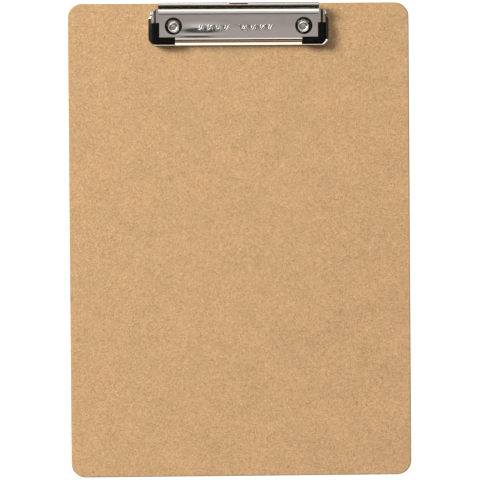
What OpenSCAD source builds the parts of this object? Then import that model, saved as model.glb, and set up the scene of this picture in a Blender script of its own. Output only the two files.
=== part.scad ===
// Letter-size hardboard clipboard with a low-profile spring clip.
// Frame: origin at the middle of the board's back face, +Z out of the writing face,
// +Y towards the clip, +X to the right of someone reading the board.
// The clip is drawn in its own frame: y is measured back from the front edge of the
// jaw's lip, z is measured up from the writing face, and in_clip() puts it in place.

/* [Board] */
// Width of the hardboard sheet
board_w = 228.6; // [180:0.1:300]
// Length of the hardboard sheet
board_l = 317.5; // [240:0.5:450]
// Thickness of the hardboard sheet
board_t = 3.2; // [2.8:0.1:5]
// Radius of the sheet's four corners
board_corner_r = 9.5; // [4:0.5:20]
// Chamfer sanded round both faces of the sheet
board_ease = 0.6; // [0.2:0.1:0.8]

/* [Jaw plate] */
// Width of the jaw over its side lips
jaw_w = 120.7; // [116:0.1:140]
// Distance from the front edge of the jaw to the board's end
jaw_reach = 28.5; // [28:0.1:32]
// Thickness of the pressed jaw sheet
jaw_t = 0.9; // [0.7:0.05:1]
// Height of the jaw's flat top over the board
top_h = 6.8; // [6.8:0.1:7.4]
// Width of the lip turned out along the front and the sides
lip_w = 2.3; // [2:0.1:2.6]
// Angle that the lip slopes down towards its edge
lip_slope = 18; // [5:1:22]
// Gap between the lip's edge and the board with the clip shut
lip_gap = 0.5; // [0.3:0.05:0.7]
// Chamfer across the lip's two front corners
lip_chamfer = 3.5; // [3:0.1:4.5]
// Radius of the bend between the flat top and the front wall
front_bend_r = 2.3; // [1.5:0.1:2.8]
// Radius of the bend between the flat top and the side walls
side_bend_r = 3.8; // [3.4:0.1:3.9]
// Width of the hanging slot
slot_w = 17; // [12:0.5:20]

/* [Hinge] */
// Distance of the hinge axis behind the jaw's front edge
hinge_y = 21; // [20.8:0.1:21.2]
// Height of the hinge axis over the board
hinge_h = 3.35; // [3.3:0.01:3.37]
// Diameter of the hinge rod
rod_d = 2.4; // [2:0.1:2.6]
// Radial clearance of the rod in its holes
rod_fit = 0.05; // [0.02:0.01:0.1]

/* [Springs] */
// Diameter of the spring wire
wire_d = 1; // [0.8:0.05:1]
// Full turns of each coil, before the last half turn
spring_turns = 6; // [3:1:10]
// Distance of each coil's inner end from the middle of the rod
spring_x = 22; // [12:1:30]

/* [Rivets] */
// Distance between the two eyelet rivets
rivet_spacing = 87; // [70:0.5:88]
// Distance of the rivets behind the jaw's front edge
rivet_y = 12.6; // [12.2:0.1:13]
// Diameter of the rivet's domed head
rivet_head_d = 9.4; // [8:0.1:10]
// Diameter of the hole through the rivet
rivet_bore_d = 3.3; // [2.5:0.1:3.5]
// Diameter of the jaw's access hole over each rivet
access_d = 11.6; // [10.5:0.1:11.8]

/* [Rubber grips] */
// Width of a grip's arm along the front
grip_front_w = 4.8; // [4:0.1:5]
// Width of a grip's arm along the side
grip_side_w = 5.5; // [4:0.1:6]
// Length of a grip along the front
grip_front_l = 16; // [10:0.1:16.5]
// Length of a grip along the side
grip_side_l = 14.4; // [10:0.1:15]
// Gap between the grips' feet and the board with the clip shut
foot_gap = 0.15; // [0.1:0.05:0.3]

/* [Base plate] */
// Thickness of the base plate
base_t = 0.8; // [0.6:0.05:0.8]
// Height of the paper stop turned up along its front edge
stop_h = 2.6; // [1.5:0.1:4]

/* [Hidden] */
$fn = 64;
// Cutters run past the surfaces that they cut by this much
past_by = 1;

// Jaw plate, in the clip's frame
lip_rise = tan(lip_slope);
lip_h = jaw_t / cos(lip_slope);
lip_back = 19.2; // y where the side lips end
lip_back_chamfer = 1.2;
wall_x = jaw_w / 2 - lip_w;
wall_y = lip_w;
bend_x = wall_x - side_bend_r;
lever_inset = 0.7;
lever_x = bend_x - lever_inset;
lever_lap = 4;
ramp_y = 20.9;
ramp_r = 7;
ramp_end = 25;
riser_r = 1.2;
riser_slope = 68;
riser_len = 2.8;
crest_r = 1.4;
flange_low = 4.9;
ear_r = 2.9;
collar_t = 0.5;
collar_len = 1.2;
shoulder_front = 0.5;
shoulder_back = 1;
// Outer surface of the lever: ramp, bend up, straight riser, crest
ramp_top = [ramp_y + ramp_r * sin(ramp_end), top_h + ramp_r * (1 - cos(ramp_end))];
riser_low = ramp_top + riser_r * [sin(riser_slope) - sin(ramp_end), cos(ramp_end) - cos(riser_slope)];
riser_top = riser_low + riser_len * [cos(riser_slope), sin(riser_slope)];
crest = riser_top + crest_r * [sin(riser_slope), -cos(riser_slope)];
slot_low = 6.2;
slot_bite = 0.4;
slot_front = crest.x - slot_bite;
slot_run = 2 * crest_r;

// Hinge, rod and ears
rod_r = rod_d / 2;
hole_r = rod_r + rod_fit;
rod_head_r = 1.75;
rod_head_t = 0.85;
rod_head_gap = 0.06;
base_ear_r = 2;
base_ear_gap = 0.3;
base_ear_x = wall_x - jaw_t - collar_len - base_ear_gap;

// Springs: the coil almost touches both plates, and both legs run back from it
coil_gap = 0.05;
turn_gap = 0.06;
coil_r = min(hinge_h - base_t, top_h - jaw_t - hinge_h) - coil_gap - wire_d / 2;
coil_pitch = wire_d + turn_gap;
leg_len = 4.6;
coil_steps = 16;
wire_sides = 8;

// Rivets and the recess in the back of the board that their rolled ends sit in
rivet_x = rivet_spacing / 2;
rivet_wall = 0.5;
rivet_fit = 0.05;
rivet_r = rivet_bore_d / 2 + rivet_wall;
rivet_hole_r = rivet_r + rivet_fit;
recess_r = 6;
recess_h = 1;
washer_r = 5;
washer_t = 0.4;
roll_r = 3.3;
roll_gap = 0.06;
roll_chamfer = 0.3;
dome_r = 3;
dome_h = 1.25;
rim_h = 0.35;

// Grips
grip_out = 0.35;
grip_x = wall_x + grip_out;
grip_y = 0.4;
grip_gap = 0.05;
grip_round = 1.6;
grip_chamfer = 2.2;

// Base plate
base_front = 7;
base_back = 26.8;
base_gap = 0.4; // between the plate and the grips
base_x = grip_x - grip_side_w - base_gap;
base_corner_r = 2;
neck_lap = 4;
stop_x = 34;

function arc(c, r, from, to, n) =
    [for (i = [0:n]) c + r * [cos(from + (to - from) * i / n), sin(from + (to - from) * i / n)]];

module in_clip() {
    translate([0, board_l / 2 - jaw_reach, board_t]) children();
}

module both_sides() {
    children();
    mirror([1, 0, 0]) children();
}

// Stands an outline drawn as (y, z) across the clip, from x = -half to x = half
module across(half) {
    translate([-half, 0, 0]) rotate([90, 0, 90]) linear_extrude(2 * half) children();
}

// A rod along x, drawn about the hinge axis
module on_hinge(r, from, to) {
    translate([from, hinge_y, hinge_h]) rotate([0, 90, 0]) cylinder(r = r, h = to - from);
}

// Plan outline of the jaw, set in by d: square at the back, chamfered at the front
module jaw_plan(d, back) {
    x = jaw_w / 2 - d;
    c = lip_chamfer - d * (2 - sqrt(2));
    polygon([[-x, back], [-x, d + c], [-x + c, d], [x - c, d], [x, d + c], [x, back]]);
}

// Outline that climbs at the lip's slope over a run, stood across the clip
module lip_ramp(run, edge) {
    inner = edge + run * lip_rise;
    across(jaw_w) polygon([[0, 0], [0, edge], [run, inner], [jaw_w, inner], [jaw_w, 0]]);
}

// Solid below a surface that slopes as the lip does and lies h above its underside.
// Its edges run past the lip's own by that much.
module under_lip(h, past = 0) {
    w = jaw_w / 2 + past;
    c = lip_chamfer + past * (2 - sqrt(2));
    run = lip_w + jaw_t + past;
    edge = lip_gap + h - past * lip_rise;
    inner = edge + run * lip_rise;
    back = lip_back + past;
    intersection() {
        translate([0, -past, 0]) lip_ramp(run, edge);
        translate([0, back, 0]) rotate([90, 0, 0]) linear_extrude(back + past)
            polygon([[-w, 0], [-w, edge], [run - w, inner], [w - run, inner], [w, edge], [w, 0]]);
        translate([w - c, -past, 0]) rotate([0, 0, 45]) lip_ramp(run, edge);
        mirror([1, 0, 0]) translate([w - c, -past, 0]) rotate([0, 0, 45]) lip_ramp(run, edge);
        linear_extrude(inner) polygon([[-w, -past], [w, -past], [w, back - lip_back_chamfer],
            [w - lip_back_chamfer, back], [lip_back_chamfer - w, back], [-w, back - lip_back_chamfer]]);
    }
}

// Solid under the jaw's top and walls, set in by d
module tray_form(d, back, low) {
    h = top_h - d;
    rf = front_bend_r - d;
    rs = side_bend_r - d;
    intersection() {
        translate([0, 0, low]) linear_extrude(h - low) jaw_plan(lip_w + d, back);
        across(jaw_w) polygon(concat([[back, low], [wall_y + d, low]],
            arc([wall_y + front_bend_r, top_h - front_bend_r], rf, 180, 90, 8), [[back, h]]));
        translate([0, back, 0]) rotate([90, 0, 0]) linear_extrude(back + past_by) polygon(concat(
            [[-wall_x + d, low]], arc([-bend_x, top_h - side_bend_r], rs, 180, 90, 8),
            arc([bend_x, top_h - side_bend_r], rs, 90, 0, 8), [[wall_x - d, low]]));
    }
}

// L-shaped plan of the right-hand grip, set in by d all round
module grip_plan(d) {
    x = grip_x - d;
    y = grip_y + d;
    inner_x = grip_x - grip_side_w + d;
    inner_y = grip_y + grip_front_w - d;
    end_x = grip_x - grip_front_l + d;
    end_y = grip_y + grip_side_l - d;
    c = grip_chamfer - d * (2 - sqrt(2));
    polygon([[end_x, y], [x - c, y], [x, y + c], [x, end_y], [inner_x, end_y], [inner_x, inner_y],
        [end_x, inner_y]]);
}

module board_sheet() {
    x = board_w / 2;
    y = board_l / 2;
    r = board_corner_r;
    e = board_ease;
    rotate([90, 0, 0]) linear_extrude(2 * (y - r), center = true)
        polygon([[-x, e], [-x + e, 0], [x - e, 0], [x, e], [x, board_t - e], [x - e, board_t],
            [-x + e, board_t], [-x, board_t - e]]);
    rotate([90, 0, 90]) linear_extrude(2 * (x - r), center = true)
        polygon([[-y, e], [-y + e, 0], [y - e, 0], [y, e], [y, board_t - e], [y - e, board_t],
            [-y + e, board_t], [-y, board_t - e]]);
    for (sx = [-1, 1], sy = [-1, 1])
        translate([sx * (x - r), sy * (y - r), 0]) rotate_extrude()
            polygon([[0, 0], [r - e, 0], [r, e], [r, board_t - e], [r - e, board_t], [0, board_t]]);
}

module at_rivets(side) {
    translate([side * rivet_x, board_l / 2 - jaw_reach + rivet_y, 0]) children();
}

module board() {
    color([0.8, 0.66, 0.48]) difference() {
        board_sheet();
        for (side = [-1, 1]) at_rivets(side) {
            translate([0, 0, -past_by]) cylinder(r = rivet_hole_r, h = board_t + 2 * past_by);
            translate([0, 0, -past_by]) cylinder(r = recess_r, h = recess_h + past_by);
        }
    }
}

module base_plan() {
    difference() {
        translate([-base_x, base_front]) square([2 * base_x, base_back - base_front]);
        for (sx = [0, 1], sy = [0, 1]) mirror([sx, 0]) {
            translate([base_x - base_corner_r, sy == 0 ? base_front - past_by : base_back - base_corner_r])
                square(base_corner_r + past_by);
        }
    }
    for (sx = [0, 1], sy = [0, 1]) mirror([sx, 0])
        translate([base_x - base_corner_r, sy == 0 ? base_front + base_corner_r : base_back - base_corner_r])
            circle(r = base_corner_r);
}

module base_plate() {
    color([0.1, 0.1, 0.1]) in_clip() difference() {
        union() {
            linear_extrude(base_t) base_plan();
            translate([-stop_x, base_front, 0]) cube([2 * stop_x, base_t, stop_h]);
            both_sides() {
                translate([base_x - neck_lap, hinge_y - base_ear_r, 0])
                    cube([base_ear_x - base_x + neck_lap, 2 * base_ear_r, base_t]);
                translate([base_ear_x - base_t, hinge_y - base_ear_r, 0])
                    cube([base_t, 2 * base_ear_r, hinge_h]);
                on_hinge(base_ear_r, base_ear_x - base_t, base_ear_x);
            }
        }
        on_hinge(hole_r, -jaw_w, jaw_w);
        for (side = [-1, 1]) translate([side * rivet_x, rivet_y, -past_by])
            cylinder(r = rivet_hole_r, h = base_t + 2 * past_by);
    }
}

// Plain rod with a peened, domed head outside each ear
module hinge_rod() {
    head_x = wall_x + rod_head_gap;
    color([0.7, 0.7, 0.72]) in_clip() translate([0, hinge_y, hinge_h]) rotate([0, 90, 0]) {
        cylinder(r = rod_r, h = 2 * head_x, center = true);
        for (side = [0, 1]) mirror([0, 0, side]) translate([0, 0, head_x]) rotate_extrude()
            polygon(concat([[0, 0], [rod_head_r, 0]],
                [for (a = [15:15:75]) [rod_head_r * cos(a), rod_head_t * sin(a)]], [[0, rod_head_t]]));
    }
}

// Side view of the lever's sheet: flat, ramp, riser, crest and rear flange
module lever_profile() {
    t = jaw_t;
    polygon(concat(
        [[ramp_y - lever_lap, top_h]],
        arc([ramp_y, top_h + ramp_r], ramp_r, -90, -90 + ramp_end, 4),
        arc(ramp_top + riser_r * [-sin(ramp_end), cos(ramp_end)], riser_r, -90 + ramp_end,
            -90 + riser_slope, 4),
        arc(crest, crest_r, 90 + riser_slope, 0, 12),
        [[crest.x + crest_r, flange_low], [crest.x + crest_r - t, flange_low]],
        arc(crest, crest_r - t, 0, 90 + riser_slope, 12),
        arc(ramp_top + riser_r * [-sin(ramp_end), cos(ramp_end)], riser_r + t, -90 + riser_slope,
            -90 + ramp_end, 4),
        arc([ramp_y, top_h + ramp_r], ramp_r + t, -90 + ramp_end, -90, 4),
        [[ramp_y - lever_lap, top_h - t]]));
}

// Hole for hanging: as seen from behind it has round ends, and it opens into the crest
module hang_slot() {
    r = (crest.y + crest_r - slot_low) / 2;
    z = slot_low + r;
    translate([0, slot_front + slot_run, z]) rotate([90, 0, 0]) linear_extrude(slot_run) {
        for (side = [-1, 1]) translate([side * (slot_w / 2 - r), 0]) circle(r = r);
        square([slot_w - 2 * r, 2 * r], center = true);
    }
}

// Part of the walls kept over the ears, cut off on a slant between ear and lever
module shoulders() {
    back = hinge_y + ear_r;
    translate([0, 0, hinge_h]) linear_extrude(top_h) polygon([[-wall_x - past_by, 0],
        [-wall_x - past_by, hinge_y - shoulder_front], [-lever_x, back + shoulder_back],
        [lever_x, back + shoulder_back], [wall_x + past_by, hinge_y - shoulder_front],
        [wall_x + past_by, 0]]);
}

module jaw_plate() {
    color([0.78, 0.78, 0.79]) in_clip() difference() {
        union() {
            // Top, front wall and side walls, with a round ear and a shoulder at the back
            difference() {
                tray_form(0, hinge_y + ear_r, lip_gap);
                tray_form(jaw_t, hinge_y + ear_r + past_by, lip_gap - past_by);
                difference() {
                    translate([-jaw_w, hinge_y, -past_by]) cube([2 * jaw_w, jaw_reach, 2 * top_h]);
                    on_hinge(ear_r, -jaw_w - past_by, jaw_w + past_by);
                    shoulders();
                    translate([-lever_x, 0, top_h - jaw_t]) cube([2 * lever_x, ramp_y, jaw_t]);
                }
            }
            // Lip turned out along the front and both sides
            difference() {
                under_lip(lip_h);
                linear_extrude(top_h) jaw_plan(lip_w + jaw_t, lip_back + past_by);
            }
            across(lever_x) lever_profile();
            // Collar plunged inwards round each rod hole
            both_sides() on_hinge(hole_r + collar_t, wall_x - jaw_t - collar_len, wall_x - jaw_t / 2);
        }
        on_hinge(hole_r, -jaw_w, jaw_w);
        for (side = [-1, 1]) translate([side * rivet_x, rivet_y, top_h / 2])
            cylinder(d = access_d, h = top_h);
        under_lip(0, past_by);
        both_sides() difference() {
            linear_extrude(top_h + past_by) grip_plan(0);
            under_lip(lip_h);
        }
        hang_slot();
    }
}

// Right-hand rubber grip: it fills the corner of the jaw, and its foot reaches the paper
module grip_shape() {
    g = grip_gap;
    r = grip_round;
    top = top_h - g;
    intersection() {
        difference() {
            translate([0, 0, foot_gap]) linear_extrude(top - foot_gap) grip_plan(g);
            difference() {
                under_lip(lip_h + g);
                linear_extrude(top_h) jaw_plan(lip_w + jaw_t + g, jaw_w);
            }
        }
        across(jaw_w) polygon(concat([[grip_y, 0]], arc([grip_y + g + r, top - r], r, 180, 90, 6),
            [[jaw_reach, top], [jaw_reach, 0]]));
        translate([0, jaw_reach, 0]) rotate([90, 0, 0]) linear_extrude(jaw_reach) polygon(concat(
            [[0, 0], [0, top]],
            arc([grip_x - g - r, top - r], r, 90, 0, 6), [[grip_x, 0]]));
    }
}

module grip(side) {
    color([0.08, 0.08, 0.08]) in_clip() mirror([side < 0 ? 1 : 0, 0, 0]) grip_shape();
}

// Right-hand torsion spring: one leg lies back on the base plate, the coil runs round the
// rod, and the other leg lies back under the lever
function coil_angle(i) = -90 - 360 / coil_steps * i;
coil_count = (spring_turns + 0.5) * coil_steps;
function coil_x(i) = spring_x + coil_pitch * i / coil_steps;
function radial(a) = [0, cos(a), sin(a)];
wire_path = concat(
    [[[coil_x(0), leg_len, -coil_r], -90]],
    [for (i = [0:coil_count]) [[coil_x(i), 0, 0] + coil_r * radial(coil_angle(i)), coil_angle(i)]],
    [[[coil_x(coil_count), leg_len, coil_r], 90]]);

module spring_shape() {
    n = len(wire_path);
    m = wire_sides;
    points = [for (p = wire_path, k = [0:m - 1])
        p[0] + wire_d / 2 * (cos(360 * k / m) * radial(p[1]) + sin(360 * k / m) * [1, 0, 0])];
    sides = [for (i = [0:n - 2], k = [0:m - 1])
        [i * m + k, i * m + (k + 1) % m, (i + 1) * m + (k + 1) % m, (i + 1) * m + k]];
    translate([0, hinge_y, hinge_h]) polyhedron(points, concat(sides,
        [[for (k = [0:m - 1]) m - 1 - k], [for (k = [0:m - 1]) (n - 1) * m + k]]));
}

module spring(side) {
    color([0.55, 0.56, 0.58]) in_clip() mirror([side < 0 ? 1 : 0, 0, 0]) spring_shape();
}

// Tubular eyelet: domed head on the base plate, end rolled over the washer in the recess
module rivet(side) {
    bore = rivet_bore_d / 2;
    seat = board_t + base_t;
    roll_z = recess_h - washer_t;
    c = roll_chamfer;
    color([0.8, 0.8, 0.8]) at_rivets(side) rotate_extrude() polygon(concat(
        [[bore, roll_gap + c], [bore + c, roll_gap], [roll_r - c, roll_gap], [roll_r, roll_gap + c],
            [roll_r, roll_z], [rivet_r, roll_z], [rivet_r, seat], [rivet_head_d / 2, seat]],
        [for (a = [0:15:90]) [dome_r + (rivet_head_d / 2 - dome_r) * cos(a),
            seat + rim_h + (dome_h - rim_h) * sin(a)]],
        arc([dome_r, seat + dome_h - (dome_r - bore)], dome_r - bore, 105, 180, 5)));
}

module rivet_washer(side) {
    color([0.7, 0.7, 0.7]) at_rivets(side) translate([0, 0, recess_h - washer_t]) difference() {
        cylinder(r = washer_r, h = washer_t);
        translate([0, 0, -past_by]) cylinder(r = rivet_hole_r, h = washer_t + 2 * past_by);
    }
}

board();
base_plate();
hinge_rod();
jaw_plate();
grip(-1);  // grip_left
grip(1);  // grip_right
spring(-1);  // spring_left
spring(1);  // spring_right
rivet(-1);  // rivet_left
rivet(1);  // rivet_right
rivet_washer(-1);  // rivet_washer_left
rivet_washer(1);  // rivet_washer_right
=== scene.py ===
import math

import bmesh
import bpy
from mathutils import Matrix, Vector


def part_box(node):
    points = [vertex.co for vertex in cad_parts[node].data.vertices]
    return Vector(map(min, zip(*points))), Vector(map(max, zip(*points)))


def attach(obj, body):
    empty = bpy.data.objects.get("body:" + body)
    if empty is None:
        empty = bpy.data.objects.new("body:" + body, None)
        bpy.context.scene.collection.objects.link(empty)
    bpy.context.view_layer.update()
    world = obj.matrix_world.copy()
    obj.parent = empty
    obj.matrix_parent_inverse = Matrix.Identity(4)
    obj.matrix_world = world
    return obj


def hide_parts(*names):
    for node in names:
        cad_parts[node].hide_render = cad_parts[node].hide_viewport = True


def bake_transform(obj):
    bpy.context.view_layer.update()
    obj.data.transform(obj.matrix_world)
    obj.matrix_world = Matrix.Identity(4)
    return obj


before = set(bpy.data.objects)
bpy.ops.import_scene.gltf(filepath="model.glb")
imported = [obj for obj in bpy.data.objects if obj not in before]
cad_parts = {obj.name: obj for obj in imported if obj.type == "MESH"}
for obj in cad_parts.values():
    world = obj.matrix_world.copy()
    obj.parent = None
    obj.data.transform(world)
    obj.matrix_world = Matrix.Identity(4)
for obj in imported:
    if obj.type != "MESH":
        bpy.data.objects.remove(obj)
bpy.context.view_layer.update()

# The writing board: one sheet of hardboard, sawn to letter size and sanded round its
# edges and corners. It is drilled for the two rivets, and counterbored on the back so
# that their rolled ends sit below the surface.


def solid(name, shape, origin):
    """A new object from points in millimetres about the origin, and its faces."""
    points, faces = shape
    mesh = bpy.data.meshes.new(name)
    mesh.from_pydata([origin + Vector(p) / 1000 for p in points], [], faces)
    work = bmesh.new()
    work.from_mesh(mesh)
    bmesh.ops.remove_doubles(work, verts=work.verts, dist=2e-7)
    bmesh.ops.recalc_face_normals(work, faces=work.faces)
    work.to_mesh(mesh)
    work.free()
    obj = bpy.data.objects.new(name, mesh)
    bpy.context.scene.collection.objects.link(obj)
    return obj


def loft(rings, endless=False):
    """Points and faces of a closed body through rings of equally many points."""
    count = len(rings[0])
    pairs = [(i, i + 1) for i in range(len(rings) - 1)]
    if endless:
        pairs.append((len(rings) - 1, 0))
    faces = [
        (a * count + j, a * count + k, b * count + k, b * count + j)
        for a, b in pairs
        for j, k in [(j, (j + 1) % count) for j in range(count)]
    ]
    if not endless:
        last = (len(rings) - 1) * count
        faces += [tuple(range(count)), tuple(range(last, last + count))]
    return [p for ring in rings for p in ring], faces


def arc(centre, radius, start, end, steps):
    """Points round a centre, from one angle to another in degrees."""
    angles = [math.radians(start + (end - start) * i / steps) for i in range(steps + 1)]
    return [
        (centre[0] + radius * math.cos(a), centre[1] + radius * math.sin(a))
        for a in angles
    ]


def rounded(corners, steps=6):
    """An outline through corners given as (a, b, radius), with an arc at each radius."""
    out = []
    for i, (a, b, radius) in enumerate(corners):
        here = Vector((a, b))
        if radius == 0:
            out.append((a, b))
            continue
        to_last = (Vector(corners[i - 1][:2]) - here).normalized()
        to_next = (Vector(corners[(i + 1) % len(corners)][:2]) - here).normalized()
        half = to_last.angle(to_next) / 2
        centre = here + (to_last + to_next).normalized() * radius / math.sin(half)
        first = here + to_last * radius / math.tan(half) - centre
        last = here + to_next * radius / math.tan(half) - centre
        turn = math.pi - 2 * half
        if first.cross(last) < 0:
            turn = -turn
        for k in range(steps + 1):
            spoke = Matrix.Rotation(turn * k / steps, 2) @ first
            out.append((centre.x + spoke.x, centre.y + spoke.y))
    return out


def upright(outline, low, high):
    """A body standing on an outline drawn as (x, y)."""
    return loft([[(x, y, z) for x, y in outline] for z in (low, high)])


def bake(obj):
    """Makes what the object's modifiers do its own mesh."""
    graph = bpy.context.evaluated_depsgraph_get()
    mesh = bpy.data.meshes.new_from_object(obj.evaluated_get(graph))
    obj.modifiers.clear()
    obj.data = mesh


def cut(obj, name, shape, origin, operation="DIFFERENCE"):
    """Takes a body away from the object, or joins it on."""
    tool = solid(name, shape, origin)
    change = obj.modifiers.new(name, "BOOLEAN")
    change.solver = "EXACT"
    change.operation = operation
    change.object = tool
    bake(obj)
    bpy.data.objects.remove(tool)


def soften(obj, width, angle=40):
    """Rounds the object's sharp edges by a width in millimetres and shades it smooth."""
    if width:
        edges = obj.modifiers.new("edges", "BEVEL")
        edges.width = width / 1000
        edges.segments = 2
        edges.limit_method = "ANGLE"
        edges.angle_limit = math.radians(angle)
        bake(obj)
    for face in obj.data.polygons:
        face.use_smooth = True
    obj.modifiers.new("normals", "WEIGHTED_NORMAL")
    bake(obj)


def material(name, colour, rough, metal=0.0):
    """A new material, and its node tree and shader."""
    made = bpy.data.materials.new(name)
    made.use_nodes = True
    shader = made.node_tree.nodes["Principled BSDF"]
    shader.inputs["Base Color"].default_value = (*colour, 1)
    shader.inputs["Roughness"].default_value = rough
    shader.inputs["Metallic"].default_value = metal
    return made, made.node_tree, shader


def add(tree, kind, inputs=None, **settings):
    """A new node whose inputs are given as sockets to link or values to set."""
    node = tree.nodes.new("ShaderNode" + kind)
    for key, value in settings.items():
        setattr(node, key, value)
    for key, value in (inputs or {}).items():
        if isinstance(value, bpy.types.NodeSocket):
            tree.links.new(value, node.inputs[key])
        else:
            node.inputs[key].default_value = value
    return node


def noise(tree, size, detail=2.0, stretch=(1, 1, 1), turn=0.0):
    """Noise in the object's own space, with features of about that size in millimetres."""
    place = add(tree, "TexCoord").outputs["Object"]
    if turn:
        about_z = {"Vector": place, "Angle": math.radians(turn)}
        place = add(tree, "VectorRotate", about_z, rotation_type="Z_AXIS").outputs[0]
    scale = [1000 / size / s for s in stretch]
    spot = add(tree, "Mapping", {"Vector": place, "Scale": scale}, vector_type="POINT")
    return add(
        tree,
        "TexNoise",
        {"Vector": spot.outputs[0], "Scale": 1.0, "Detail": detail, "Roughness": 0.6},
    ).outputs["Fac"]


def ramp(tree, factor, *stops):
    """A colour for each level of the factor, from stops given as (level, colour or grey)."""
    node = add(tree, "ValToRGB", {"Fac": factor})
    stops = [(p, c if isinstance(c, tuple) else (c, c, c)) for p, c in stops]
    while len(node.color_ramp.elements) < len(stops):
        node.color_ramp.elements.new(1.0)
    for element, (level, colour) in zip(node.color_ramp.elements, stops):
        element.position = level
        element.color = (*colour, 1)
    return node.outputs["Color"]


def mix(tree, factor, first, second, blend="MIX"):
    """Two colours mixed by a factor."""
    node = add(tree, "Mix", data_type="RGBA", blend_type=blend)
    for index, value in ((0, factor), (6, first), (7, second)):
        if isinstance(value, bpy.types.NodeSocket):
            tree.links.new(value, node.inputs[index])
        elif index:
            node.inputs[index].default_value = (*value, 1)
        else:
            node.inputs[index].default_value = value
    return node.outputs[2]


def bump(tree, shader, *layers):
    """Relief on the shader from layers given as (height, depth in millimetres)."""
    normal = None
    for height, depth in layers:
        inputs = {"Height": height, "Distance": depth / 1000, "Strength": 1.0}
        if normal:
            inputs["Normal"] = normal
        normal = add(tree, "Bump", inputs).outputs[0]
    tree.links.new(normal, shader.inputs["Normal"])


board_low, board_high = [Vector(corner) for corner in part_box("board")]
board_middle = Vector((0, (board_low.y + board_high.y) / 2, board_low.z))
half_width = (board_high.x - board_low.x) * 500
half_length = (board_high.y - board_low.y) * 500
sheet = (board_high.z - board_low.z) * 1000
corner_radius = 9.5
sanded = 0.75


def board_outline(inset):
    """The sheet's outline, pulled in by an inset."""
    x, y, r = half_width - inset, half_length - inset, corner_radius - inset
    return rounded([(x, y, r), (-x, y, r), (-x, -y, r), (x, -y, r)], 20)


edge = arc((sanded, sanded), sanded, 270, 180, 5)
edge += arc((sanded, sheet - sanded), sanded, 180, 90, 5)
board = solid(
    "writing_board",
    loft([[(x, y, z) for x, y in board_outline(inset)] for inset, z in edge]),
    board_middle,
)
jaw_front = Vector((0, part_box("jaw_plate")[0][1], board_high.z))
rivet_x, rivet_y = 43.5, 12.6
rivet_hole, recess, recess_deep = 2.2, 6, 1
for side in (-1, 1):
    where = jaw_front + Vector((side * rivet_x, rivet_y, -sheet)) / 1000
    for radius, depth in ((rivet_hole, sheet + 1), (recess, recess_deep)):
        bore = upright(arc((0, 0), radius, 0, 360, 48)[:-1], -1, depth)
        cut(board, "bore", bore, where)
soften(board, 0.12, 60)

hardboard, tree, shader = material("hardboard", (0.56, 0.36, 0.18), 0.62)
blotch = noise(tree, 26, 3)
cloud = noise(tree, 9, 4, (1.5, 1, 1))
grain = noise(tree, 0.9, 3)
colour = ramp(tree, blotch, (0.36, (0.375, 0.224, 0.104)), (0.64, (0.346, 0.215, 0.098)))
colour = mix(tree, 0.75, colour, ramp(tree, cloud, (0.3, 0.93), (0.7, 1.05)), "MULTIPLY")
colour = mix(tree, 1.0, colour, ramp(tree, grain, (0.3, 0.89), (0.7, 1.09)), "MULTIPLY")
for turn, limit in ((8, 0.62), (52, 0.64), (97, 0.63), (143, 0.635)):
    strand = noise(tree, 0.42, 1.0, (6, 1, 1), turn)
    mask = ramp(tree, strand, (limit, 0.0), (limit + 0.08, 0.6))
    colour = mix(tree, mask, colour, (0.18, 0.095, 0.04))
    pale = ramp(tree, strand, (0.28, 0.35), (0.37, 0.0))
    colour = mix(tree, pale, colour, (0.6, 0.42, 0.24))
specks = ramp(tree, noise(tree, 0.4, 1.0), (0.66, 0.0), (0.72, 0.6))
colour = mix(tree, specks, colour, (0.16, 0.085, 0.035))
normal = add(tree, "TexCoord").outputs["Normal"]
facing = add(tree, "SeparateXYZ", {"Vector": normal}).outputs["Z"]
upwards = add(tree, "Math", {0: facing}, operation="ABSOLUTE").outputs[0]
sawn = ramp(tree, upwards, (0.86, 1.0), (0.985, 0.0))
layers = noise(tree, 1.6, 3, (1, 1, 0.16))
sawn_colour = ramp(tree, layers, (0.3, (0.2, 0.135, 0.075)), (0.7, (0.36, 0.26, 0.15)))
colour = mix(tree, sawn, colour, sawn_colour)
tree.links.new(colour, shader.inputs["Base Color"])
rough = ramp(tree, cloud, (0.3, 0.56), (0.7, 0.68))
tree.links.new(mix(tree, sawn, rough, (0.85, 0.85, 0.85)), shader.inputs["Roughness"])
shader.inputs["Specular IOR Level"].default_value = 0.35
bump(tree, shader, (grain, 0.04), (strand, 0.03), (noise(tree, 0.25, 2), 0.02))
board.data.materials.append(hardboard)
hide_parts("board")
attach(board, "board")

# The base plate: zinc-plated sheet steel under the jaw, riveted to the board. Its front
# edge is turned up to stop the paper, and an ear at each end holds the hinge rod.


def across(outline, start, end):
    """A body running along x, from an outline drawn as (y, z)."""
    return loft([[(x, y, z) for y, z in outline] for x in (start, end)])


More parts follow.
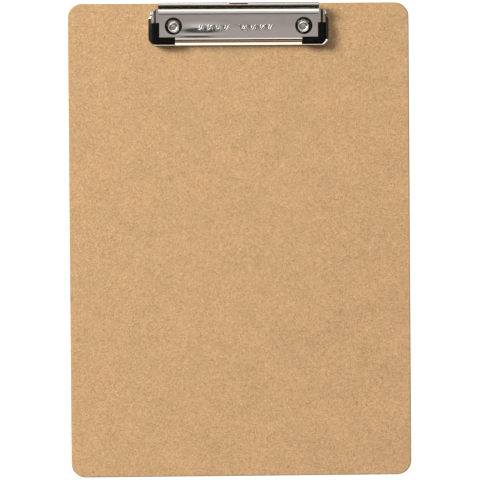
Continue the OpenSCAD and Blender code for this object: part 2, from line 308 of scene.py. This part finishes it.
hinge_y, hinge_z = 21.0, 3.35
base_thick = 0.8
base_front, base_rear, base_side = 7.0, 26.8, 52.5
corner_cut = 2
stop_side, stop_high = 34.0, 2.6
base_ear, ear_in, ear_out = 2.0, 54.85, 55.65
neck_in, neck_out = 48.0, 55.2
rod_hole = 1.25
strip = rounded(
    [
        (base_front, stop_high, 0),
        (base_front, 0, 1.0),
        (base_rear, 0, 0),
        (base_rear, base_thick, 0),
        (base_front + base_thick, base_thick, 0.25),
        (base_front + base_thick, stop_high, 0),
    ]
)
base = solid("base_plate_sheet", across(strip, -base_side, base_side), jaw_front)
for side in (-1, 1):
    ends = sorted((side * stop_side, side * (base_side + 1)))
    front, rear, high = base_front - 1, base_front + 2, stop_high + 1
    tip = [(front, base_thick), (rear, base_thick), (rear, high), (front, high)]
    cut(base, "stop_end", across(tip, *ends), jaw_front)
    for y, far in ((base_front, -1), (base_rear, 1)):
        x = side * base_side
        inner_x, inner_y = x - side * corner_cut, y - far * corner_cut
        bite = [(inner_x, y), (x, inner_y), (x + side, inner_y)]
        bite += [(x + side, y + far), (inner_x, y + far)]
        cut(base, "corner", upright(bite, -1, 3), jaw_front)
    front, rear = hinge_y - base_ear, hinge_y + base_ear
    ear = arc((hinge_y, hinge_z), base_ear, 0, 180, 16) + [(front, 0), (rear, 0)]
    ends = sorted((side * ear_in, side * ear_out))
    cut(base, "ear", across(ear, *ends), jaw_front, "UNION")
    neck = [(front, 0), (rear, 0), (rear, base_thick), (front, base_thick)]
    ends = sorted((side * neck_in, side * neck_out))
    cut(base, "neck", across(neck, *ends), jaw_front, "UNION")
    hole = arc((side * rivet_x, rivet_y), rivet_hole, 0, 360, 48)[:-1]
    cut(base, "hole", upright(hole, -1, 3), jaw_front)
pin = arc((hinge_y, hinge_z), rod_hole, 0, 360, 32)[:-1]
cut(base, "pin_hole", across(pin, -60, 60), jaw_front)
soften(base, 0.1)

# The plate is coloured near black, so that it looks dark round the rivets through the jaw's
# windows
zinc, tree, shader = material("near_black_base_plate", (0.1, 0.1, 0.1), 0.34, 1.0)
tint = noise(tree, 5, 3)
colour = ramp(tree, tint, (0.3, (0.03, 0.028, 0.026)), (0.7, (0.06, 0.056, 0.052)))
tree.links.new(colour, shader.inputs["Base Color"])
rough = ramp(tree, noise(tree, 1.2, 4), (0.3, 0.24), (0.7, 0.46))
tree.links.new(rough, shader.inputs["Roughness"])
bump(tree, shader, (noise(tree, 0.5, 3), 0.01))
base.data.materials.append(zinc)
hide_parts("base_plate")
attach(base, "board")

# The jaw: one bright-plated steel pressing. Its lip runs round the front and both sides,
# the top is pierced over the rivets, and the back is bent up into the lever that opens it.
# Short slanted ribs are pressed into the top; their colour is darker than the plate, as a
# painted dark reflection. The faces round the hanging slot are coloured near black, as
# painted shade.
jaw_side = 60.35
thick = 0.9
lip, lip_slope = 2.3, 18
slope = math.tan(math.radians(lip_slope))
gap = 0.5
top = 6.8
chamfer = 3.5
mitre = 2 - math.sqrt(2)
side_bend, front_bend = 3.8, 2.3
lip_rear = 19.2
lip_top = gap + thick / math.cos(math.radians(lip_slope))
wall = jaw_side - lip


def jaw_section(bend):
    """The pressed sheet from the inside of its top, round the lip, to the outside."""
    inner = lip + thick
    return rounded(
        [
            (lip + bend, top - thick, 0),
            (inner, top - thick, bend - thick),
            (inner, gap + inner * slope, 1.2),
            (0, gap, 0.3),
            (0, lip_top, 0.3),
            (lip, lip_top + lip * slope, 0.8),
            (lip, top, bend),
            (lip + bend, top, 0),
        ],
        8,
    )


def corner_path(half, side_inset, front_inset, square, start, end):
    """Plan points from the front, round a chamfered corner, to the side."""
    x = half - side_inset
    bevelled = max(square, 0.25)
    return rounded(
        [
            (start, front_inset, 0),
            (x - bevelled, front_inset, bevelled * 0.8),
            (x, front_inset + bevelled, bevelled * 0.8),
            (x, end, 0),
        ],
        3,
    )


half_rings = []
for (side_inset, side_z), (front_inset, front_z) in zip(
    jaw_section(side_bend), jaw_section(front_bend)
):
    square = chamfer - side_inset * mitre
    path = corner_path(jaw_side, side_inset, front_inset, square, 0, lip_rear - lip)[1:]
    ring = [(x, y, front_z if i < 4 else side_z) for i, (x, y) in enumerate(path)]
    for angle in range(15, 91, 15):
        y = lip_rear - lip + lip * math.sin(math.radians(angle))
        kept = side_inset
        if side_inset < lip:
            kept = lip - (lip - side_inset) * math.cos(math.radians(angle))
        ring.append((jaw_side - kept, y, side_z + (kept - side_inset) * slope))
    # Behind the lip, the walls' lower edge drops into the ears round the rod
    x, y, z = ring[-1]
    low = z - 0.8 if z < 2 else z
    ring += [(x, hinge_y - 0.2, low), (x, hinge_y + 3, low)]
    half_rings.append(ring)
rings = [[(-x, y, z) for x, y, z in reversed(ring)] + ring for ring in half_rings]
count = len(rings[0])
points = [p for ring in rings for p in ring]
faces = [
    (i * count + j, i * count + j + 1, (i + 1) * count + j + 1, (i + 1) * count + j)
    for i in range(len(rings) - 1)
    for j in range(count - 1)
]
last = (len(rings) - 1) * count
faces += [tuple(range(count)), tuple(range(last, last + count))]
left_end = [i * count for i in range(len(rings))]
right_end = [i * count + count - 1 for i in range(len(rings))]
faces.append(tuple(left_end + right_end[::-1]))
jaw = solid("jaw_pressing", (points, faces), jaw_front)

jaw_ear, lever_inset = 2.9, 0.7
lever_side = wall - side_bend - lever_inset
behind, beyond = 31, 70
ramp_y, ramp_r, ramp_turn = 20.9, 7.0, 25
riser_r, riser_turn, riser = 1.2, 68, 2.8
crest_r, flange_low = 1.4, 4.9
ear = arc((hinge_y, hinge_z), jaw_ear, -90, 0, 12)
ear += [(behind, hinge_z), (behind, -2), (hinge_y, -2)]
cut(jaw, "under_ears", across(ear, -beyond, beyond), jaw_front)
for side in (-1, 1):
    slant = [(wall + 1, hinge_y - 0.5), (lever_side, hinge_y + jaw_ear + 1)]
    slant += [(lever_side, behind), (beyond, behind), (beyond, hinge_y - 0.5)]
    slant = [(side * x, y) for x, y in slant]
    cut(jaw, "shoulder", upright(slant, hinge_z, 12), jaw_front)
notch = [(ramp_y, 5), (behind, 5), (behind, 12), (ramp_y, 12)]
cut(jaw, "lever_gap", across(notch, -lever_side, lever_side), jaw_front)


def polar(angle, radius):
    """The step from a centre out to a radius, at an angle in degrees."""
    turn = math.radians(angle)
    return Vector((math.cos(turn), math.sin(turn))) * radius


ramp_centre = Vector((ramp_y, top + ramp_r))
ramp_top = ramp_centre + polar(ramp_turn - 90, ramp_r)
riser_centre = ramp_top - polar(ramp_turn - 90, riser_r)
riser_top = riser_centre + polar(riser_turn - 90, riser_r) + polar(riser_turn, riser)
crest = riser_top - polar(riser_turn + 90, crest_r)
lap = ramp_y - 4
outside = [(lap, top)] + arc(ramp_centre, ramp_r, -90, ramp_turn - 90, 8)
outside += arc(riser_centre, riser_r, ramp_turn - 90, riser_turn - 90, 8)
outside += arc(crest, crest_r, riser_turn + 90, 0, 20)
outside += [(crest.x + crest_r, flange_low)]
inside = [(lap, top - thick)]
inside += arc(ramp_centre, ramp_r + thick, -90, ramp_turn - 90, 8)
inside += arc(riser_centre, riser_r + thick, ramp_turn - 90, riser_turn - 90, 8)
inside += arc(crest, crest_r - thick, riser_turn + 90, 0, 20)
inside += [(crest.x + crest_r - thick, flange_low)]
lever = loft(
    [[(x, y, z) for y, z in outside + inside[::-1]] for x in (-lever_side, lever_side)]
)
cut(jaw, "lever", lever, jaw_front, "UNION")
collar_r, collar_long, window_r = 1.75, 1.2, 5.8
# The openings for the grips: where each starts and ends, and how wide its arms are
open_in, open_out, open_front, open_rear = 42.4, 58.4, 0.4, 14.8
side_arm, front_arm, open_bevel = 5.5, 4.8, 2.2
for side in (-1, 1):
    collar = arc((hinge_y, hinge_z), collar_r, 0, 360, 32)[:-1]
    ends = sorted((side * (wall - thick - collar_long), side * (wall - thick / 2)))
    cut(jaw, "collar", across(collar, *ends), jaw_front, "UNION")
    window = arc((side * rivet_x, rivet_y), window_r, 0, 360, 96)[:-1]
    cut(jaw, "window", upright(window, 4, 9), jaw_front)
    inner_x, inner_y = open_out - side_arm, open_front + front_arm
    bracket = [(open_in, open_front), (open_out - open_bevel, open_front)]
    bracket += [(open_out, open_front + open_bevel), (open_out, open_rear)]
    bracket += [(inner_x, open_rear), (inner_x, inner_y), (open_in, inner_y)]
    bracket = [(side * x, y) for x, y in bracket]
    cut(jaw, "grip_opening", upright(bracket, 2.15, 9), jaw_front)
cut(jaw, "pin_hole", across(pin, -beyond, beyond), jaw_front)
crease_y, crease_r, crease_deep, crease_side = 20.95, 5, 0.05, 53.2
crease = arc((crease_y, top + crease_r - crease_deep), crease_r, 255, 285, 10)
crease += [(22, top + 1), (19, top + 1)]
cut(jaw, "crease", across(crease, -crease_side, crease_side), jaw_front)
slot_low, slot_half, slot_bite = 6.2, 8.5, 0.4
slot_r = (crest.y + crest_r - slot_low) / 2
slot = arc((slot_half - slot_r, slot_low + slot_r), slot_r, -90, 90, 20)
slot += arc((slot_r - slot_half, slot_low + slot_r), slot_r, 90, 270, 20)
slot_ends = (crest.x - slot_bite, crest.x + 9)
hanger = loft([[(x, y, z) for x, z in slot] for y in slot_ends])
cut(jaw, "hanging_slot", hanger, jaw_front)
soften(jaw, 0.1, 38)

bright, tree, shader = material("bright_plate", (0.62, 0.59, 0.57), 0.1, 1.0)
film = noise(tree, 7, 4)
rough = ramp(tree, film, (0.35, 0.07), (0.7, 0.13))
tree.links.new(rough, shader.inputs["Roughness"])


def dished(tree, x, y, long, wide):
    """A level from 0 outside an oval on the jaw's top to 1 in the middle of it."""
    oval = {
        "Vector": add(tree, "TexCoord").outputs["Object"],
        "Location": jaw_front + Vector((x, y, top)) / 1000,
        "Scale": (long / 1000, wide / 1000, 0.02),
    }
    spot = {"Vector": add(tree, "Mapping", oval, vector_type="TEXTURE").outputs[0]}
    fall = add(tree, "TexGradient", spot, gradient_type="QUADRATIC_SPHERE")
    return fall.outputs["Fac"]


def dent(tree, *oval):
    """The same oval as a hollow, from 0 outside it to -1 in the middle."""
    level = {0: dished(tree, *oval), 1: -1.0}
    return add(tree, "Math", level, operation="MULTIPLY").outputs[0]


crown = dished(tree, 0, 11.5, 400, 22)
stamped = dent(tree, -25, 11.3, 24, 4.6)
pinched = dent(tree, -28, 6.3, 27, 2.0)
bump(
    tree,
    shader,
    (noise(tree, 9, 1, (1.6, 1, 1)), 0.012),
    (noise(tree, 0.4, 2), 0.0006),
    (crown, 0.14),
    (stamped, 0.4),
    (pinched, 0.13),
)
rib_spacing, rib_start, rib_y, rib_r = 1.45, -26, 11.4, 0.42
rib_levels = ((-0.1, -0.03), (0.06, 0.032), (0.2, 0.08), (0.34, 0.095))
points, faces = [], []
for i in [*range(14), *range(19, 34)]:
    lean = math.radians((16, -22, 4, 28)[i * 7 % 4])
    c, s = math.cos(lean), math.sin(lean)
    half, middle = 1.5 + 0.25 * (i * 5 % 3), rib_spacing * i + rib_start
    rings = []
    for inset, z in rib_levels:
        capsule = arc((0, half), rib_r - inset, 0, 180, 6)
        capsule += arc((0, -half), rib_r - inset, 180, 360, 6)
        rings.append(
            [(middle + x * c + y * s, rib_y + y * c - x * s, top + z) for x, y in capsule]
        )
    more, loops = loft(rings)
    faces += [tuple(len(points) + j for j in loop) for loop in loops]
    points += more
hatch = solid("jaw_pressed_hatch", (points, faces), jaw_front)
soften(hatch, 0)
# Near-black material for the hanging slot's faces: painted shade, standing in for the shadow
# inside the rolled crest
slot_painted_shade, tree, shader = material("slot_painted_shade", (0.03, 0.028, 0.026), 0.5, 1.0)
bump(tree, shader, (noise(tree, 0.3, 3), 0.01))
# Darker, rougher plate on the ribs: a painted dark reflection, since the real ribs are the
# same bright plate as the jaw
pressed, tree, shader = material("ribs_painted_dark_reflection", (0.3, 0.285, 0.27), 0.3, 1.0)
rough = ramp(tree, noise(tree, 1.2, 3), (0.3, 0.22), (0.7, 0.38))
tree.links.new(rough, shader.inputs["Roughness"])
hatch.data.materials.append(pressed)
jaw.data.materials.append(bright)
jaw.data.materials.append(slot_painted_shade)
# Faces in the hanging slot take the near-black painted-shade material
for face in jaw.data.polygons:
    x, y, z = (face.center - jaw_front) * 1000
    in_slot = abs(x) < slot_half + 0.1 and y > crest.x and slot_low - 0.15 < z < 11
    if in_slot and abs(face.normal.y) < 0.5:
        face.material_index = 1
for piece in (jaw, hatch):
    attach(piece, "jaw")
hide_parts("jaw_plate")

# The two grips: black moulded rubber, an L that snaps into each front corner of the jaw.
# The upper face is ribbed along its arms, and the foot under it presses on the paper.
rubber, tree, shader = material("black_rubber", (0.006, 0.006, 0.006), 0.55)
shader.inputs["Specular IOR Level"].default_value = 0.02
dust = noise(tree, 2.5, 4)
colour = ramp(tree, dust, (0.35, (0.002, 0.002, 0.002)), (0.75, (0.005, 0.0047, 0.0044)))
tree.links.new(colour, shader.inputs["Base Color"])
rough = ramp(tree, dust, (0.3, 0.48), (0.7, 0.68))
tree.links.new(rough, shader.inputs["Roughness"])
bump(tree, shader, (noise(tree, 0.3, 3), 0.02))

clear, grip_round = 0.05, 1.5
grip_top, grip_foot = top - clear, 0.15
ribs, rib_deep = 4, 0.11
grip_side, grip_front = jaw_side - open_out + clear, open_front + clear


def grip_section(outer, grip_wide):
    """The grip across one arm, as (distance in from its outer face, height)."""
    rest = lip_top + clear + outer * slope
    notch = lip + thick + clear - outer
    outline = [(0, rest)] + arc((grip_round, grip_top - grip_round), grip_round, 180, 90, 8)
    outline = outline[:-3]
    start, end = grip_round * 0.75, grip_wide - 0.3
    for i in range(ribs * 6 + 1):
        along = start + (end - start) * i / (ribs * 6)
        sag = max(0.0, grip_round - along)
        crown = grip_top - (grip_round - math.sqrt(grip_round**2 - sag**2))
        groove = rib_deep * (1 - math.cos(math.tau * i / 6)) / 2
        outline.append((along, crown - groove - 0.002))
    edge = [(end, grip_top, 0), (grip_wide, grip_top, 0.25), (grip_wide, 1, 0)]
    outline += rounded(edge, 3)[1:-1]
    outline += [(grip_wide, grip_foot), (notch, grip_foot), (notch, rest + notch * slope)]
    return outline


for side, name in ((-1, "left"), (1, "right")):
    rings = []
    side_section = grip_section(grip_side, side_arm - 2 * clear)
    front_section = grip_section(grip_front, front_arm - 2 * clear)
    for (from_side, side_z), (from_front, front_z) in zip(side_section, front_section):
        path = corner_path(
            jaw_side,
            grip_side + from_side,
            grip_front + from_front,
            open_bevel - from_side * mitre,
            open_in + clear,
            open_rear - clear,
        )
        heights = [front_z] * 5 + [side_z] * 5
        rings.append([(side * x, y, z) for (x, y), z in zip(path, heights)])
    rings = [list(ring) for ring in zip(*rings)]
    grip = solid("grip_" + name + "_rubber", loft(rings), jaw_front)
    soften(grip, 0.12, 50)
    grip.data.materials.append(rubber)
    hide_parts("grip_" + name)
    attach(grip, "jaw")

# The two springs: hard-drawn steel wire coiled round the rod. The inner leg lies on the
# base plate and the outer leg under the lever, so that they push the jaw shut.
steel_wire, tree, shader = material("spring_wire", (0.42, 0.42, 0.43), 0.3, 1.0)
rough = ramp(tree, noise(tree, 1.0, 3), (0.3, 0.22), (0.7, 0.42))
tree.links.new(rough, shader.inputs["Roughness"])
bump(tree, shader, (noise(tree, 0.3, 2, (1, 5, 5)), 0.004))

coil_start, coil_r, pitch, turns, leg, wire_r = 22.0, 2.0, 1.06, 6.5, 4.6, 0.495
steps = 32
total = int(turns * steps)
path = [(coil_start, leg, -coil_r, -90)]
for i in range(total + 1):
    degrees = -90 - 360 * i / steps
    a = math.radians(degrees)
    x = coil_start + pitch * i / steps
    path.append((x, coil_r * math.cos(a), coil_r * math.sin(a), degrees))
path.append((coil_start + pitch * turns, leg, coil_r, 90))
for side, name in ((-1, "left"), (1, "right")):
    rings = []
    for x, y, z, degrees in path:
        out_y, out_z = math.cos(math.radians(degrees)), math.sin(math.radians(degrees))
        ring = []
        for k in range(12):
            a = math.tau * k / 12
            out, along = wire_r * math.cos(a), wire_r * math.sin(a)
            away_y, away_z = y + out * out_y, z + out * out_z
            ring.append((side * (x + along), hinge_y + away_y, hinge_z + away_z))
        rings.append(ring)
    spring = solid("spring_" + name + "_wire", loft(rings), jaw_front)
    soften(spring, 0)
    spring.data.materials.append(steel_wire)
    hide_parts("spring_" + name)
    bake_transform(spring)

# The hinge rod: plain steel rod through the ears of the base plate and the jaw, peened
# over at both ends so that it can't slide out.


def turned(outline, sides=48):
    """A body turned about +Z from an outline drawn as (radius, height)."""
    rings = []
    for k in range(sides):
        c, s = math.cos(math.tau * k / sides), math.sin(math.tau * k / sides)
        rings.append([(r * c, r * s, h) for r, h in outline])
    return loft(rings, True)


rod_r, head_r, head_in, head_out = 1.2, 1.75, 58.11, 58.96
half_rod = [(0, head_out, 0), (head_r, head_out, 0.75), (head_r, head_in, 0.1)]
half_rod = rounded([*half_rod, (rod_r, head_in, 0)], 5)
rod_outline = half_rod + [(r, -h) for r, h in reversed(half_rod)]
points, faces = turned(rod_outline, 32)
points = [(z, hinge_y + x, hinge_z + y) for x, y, z in points]
rod = solid("hinge_rod_steel", (points, faces), jaw_front)
soften(rod, 0)
steel, tree, shader = material("plain_steel", (0.56, 0.56, 0.57), 0.26, 1.0)
rough = ramp(tree, noise(tree, 0.8, 3, (1, 6, 6)), (0.3, 0.18), (0.7, 0.4))
tree.links.new(rough, shader.inputs["Roughness"])
bump(tree, shader, (noise(tree, 0.6, 3), 0.006))
rod.data.materials.append(steel)
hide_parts("hinge_rod")
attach(rod, "board")

# The two eyelet rivets and their washers: plated tube with a domed head on the base
# plate. The tail is rolled over a flat steel washer in the back of the board.
eyelet, tree, shader = material("eyelet_plate", (0.82, 0.79, 0.75), 0.2, 1.0)
rough = ramp(tree, noise(tree, 0.8, 3), (0.3, 0.15), (0.7, 0.28))
tree.links.new(rough, shader.inputs["Roughness"])
bump(tree, shader, (noise(tree, 1.5, 2), 0.01))
washer_steel, tree, shader = material("washer_steel", (0.5, 0.5, 0.5), 0.36, 1.0)
rough = ramp(tree, noise(tree, 0.7, 3), (0.3, 0.28), (0.7, 0.5))
tree.links.new(rough, shader.inputs["Roughness"])
bump(tree, shader, (noise(tree, 0.4, 3), 0.008))

bore, head, dome, rise = 1.65, 4.7, 3.0, 1.25
seat = sheet + base_thick
tube = bore + 0.5
roll, roll_low, roll_high = 3.3, 0.06, 0.6
rim = 0.3
eyelet_outline = [(tube, roll_high), (tube, seat + 0.01), (head - 0.15, seat + 0.01)]
for degrees in range(0, 90, 9):
    out = (head - dome) * math.cos(math.radians(degrees))
    up = (rise - rim) * math.sin(math.radians(degrees))
    eyelet_outline.append((dome + out, seat + rim + up))
eyelet_outline += arc((dome, seat + rise - (dome - bore)), dome - bore, 90, 180, 12)
eyelet_outline += rounded(
    [(bore, 2, 0), (bore, roll_low, 0.5), (roll, roll_low, 0.5), (roll, roll_high, 0)], 6
)[1:]
washer_in, washer_out, washer_thick = tube + 0.05, 5, 0.4
washer_outline = [(washer_in, 0, 0.05), (washer_out, 0, 0.08)]
washer_outline += [(washer_out, washer_thick, 0.08), (washer_in, washer_thick, 0.05)]
washer_outline = rounded(washer_outline, 3)
for side, name in ((-1, "left"), (1, "right")):
    where = jaw_front + Vector((side * rivet_x, rivet_y, -sheet)) / 1000
    rivet = solid("rivet_" + name + "_eyelet", turned(eyelet_outline, 64), where)
    soften(rivet, 0)
    rivet.data.materials.append(eyelet)
    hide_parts("rivet_" + name)
    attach(rivet, "board")
    where = where + Vector((0, 0, roll_high)) / 1000
    washer = solid("washer_" + name + "_steel", turned(washer_outline, 64), where)
    soften(washer, 0)
    washer.data.materials.append(washer_steel)
    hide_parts("rivet_washer_" + name)
    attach(washer, "board")

# The floor: a plain pale table top that the board lies on. It glows a little, like a
# light table, except under the board, so that no light comes up through the eyelets.
reach = 4000
corners = [(-reach, -reach, 0), (reach, -reach, 0), (reach, reach, 0), (-reach, reach, 0)]
floor = solid("floor", (corners, [(0, 1, 2, 3)]), Vector((0, 0, -0.0002)))
table_top, tree, shader = material("table_top", (0.3, 0.3, 0.3), 0.8)
place = add(tree, "SeparateXYZ", {"Vector": add(tree, "TexCoord").outputs["Object"]})
out = []
for axis, half in (("X", board_high.x), ("Y", board_high.y)):
    span = add(tree, "Math", {0: place.outputs[axis]}, operation="ABSOLUTE").outputs[0]
    out.append(add(tree, "Math", {0: span, 1: half}, operation="DIVIDE").outputs[0])
away = add(tree, "Math", {0: out[0], 1: out[1]}, operation="MAXIMUM").outputs[0]
glow = ramp(tree, away, (0.9, (0.16, 0.14, 0.11)), (0.95, 0.97))
tree.links.new(glow, shader.inputs["Emission Color"])
shader.inputs["Emission Strength"].default_value = 1.0
shader.inputs["Specular IOR Level"].default_value = 0.1
floor.data.materials.append(table_top)

# The studio: a grey room that is dark to the sides, and lit along a band from front to
# back that runs a little aslant. A long soft light stands in front of the board, and a
# smaller one beyond its upper left corner throws the shadows.
world = bpy.data.worlds.new("studio")
world.use_nodes = True
tree = world.node_tree
way = add(tree, "SeparateXYZ", {"Vector": add(tree, "TexCoord").outputs["Generated"]})
slant = {0: way.outputs["Y"], 1: 0.5, 2: way.outputs["X"]}
beside = add(tree, "Math", slant, operation="MULTIPLY_ADD").outputs[0]
beside = add(tree, "Math", {0: beside}, operation="ABSOLUTE").outputs[0]
along = add(tree, "MapRange", {0: way.outputs["Y"], 1: -1.0, 2: 1.0}).outputs[0]
room = ramp(
    tree,
    along,
    (0.0, 0.1),
    (0.14, 0.1),
    (0.22, 0.3),
    (0.3, 0.85),
    (0.46, 0.85),
    (0.49, (0.66, 0.6, 0.58)),
    (0.555, (0.52, 0.475, 0.455)),
    (0.58, 0.1),
    (0.67, 0.1),
    (0.685, 2.9),
    (0.87, 2.5),
    (0.93, 0.4),
)
sides = ramp(tree, beside, (0.3, 1.0), (0.45, (0.05, 0.035, 0.02)), (0.6, 0.04), (0.8, 0.14))
room = mix(tree, 1.0, room, sides, "MULTIPLY")
tree.links.new(room, tree.nodes["Background"].inputs["Color"])
bpy.context.scene.world = world


def lamp(name, azimuth, elevation, distance, width, height, power, colour=(1, 1, 1)):
    """A soft area light in a direction from the board, facing it."""
    light = bpy.data.lights.new(name, "AREA")
    light.shape = "RECTANGLE"
    light.size, light.size_y = width, height
    light.energy = power
    light.color = colour
    obj = bpy.data.objects.new(name, light)
    a, e = math.radians(azimuth), math.radians(elevation)
    way = Vector((math.sin(a) * math.cos(e), math.cos(a) * math.cos(e), math.sin(e)))
    obj.location = way * distance
    obj.rotation_euler = way.to_track_quat("Z", "Y").to_euler()
    bpy.context.scene.collection.objects.link(obj)


lamp("front_softbox", 158, 63.3, 2.6, 2.8, 0.8, 11, (1, 0.9, 0.78))
lamp("side_softbox", -60, 31, 4, 1.5, 1.1, 355, (1, 0.99, 0.97))

# The camera: a long lens 1.5 m above the board, looking almost straight down on it,
# with the small turns that it has about the three axes.
turned_by = (
    Matrix.Rotation(math.radians(0.429), 3, "Z")
    @ Matrix.Rotation(math.radians(0.91), 3, "X")
    @ Matrix.Rotation(math.radians(1.368), 3, "Y")
)
back = turned_by.transposed()
lens = bpy.data.cameras.new("camera")
lens.lens = 167.7
lens.sensor_width = 36
camera = bpy.data.objects.new("camera", lens)
camera.matrix_world = (
    Matrix.Translation(back @ Vector((0, -0.00012, 1.5)) + Vector((0, 0, board_high.z)))
    @ back.to_4x4()
)
bpy.context.scene.collection.objects.link(camera)
bpy.context.scene.camera = camera
bpy.context.scene.view_settings.view_transform = "Standard"
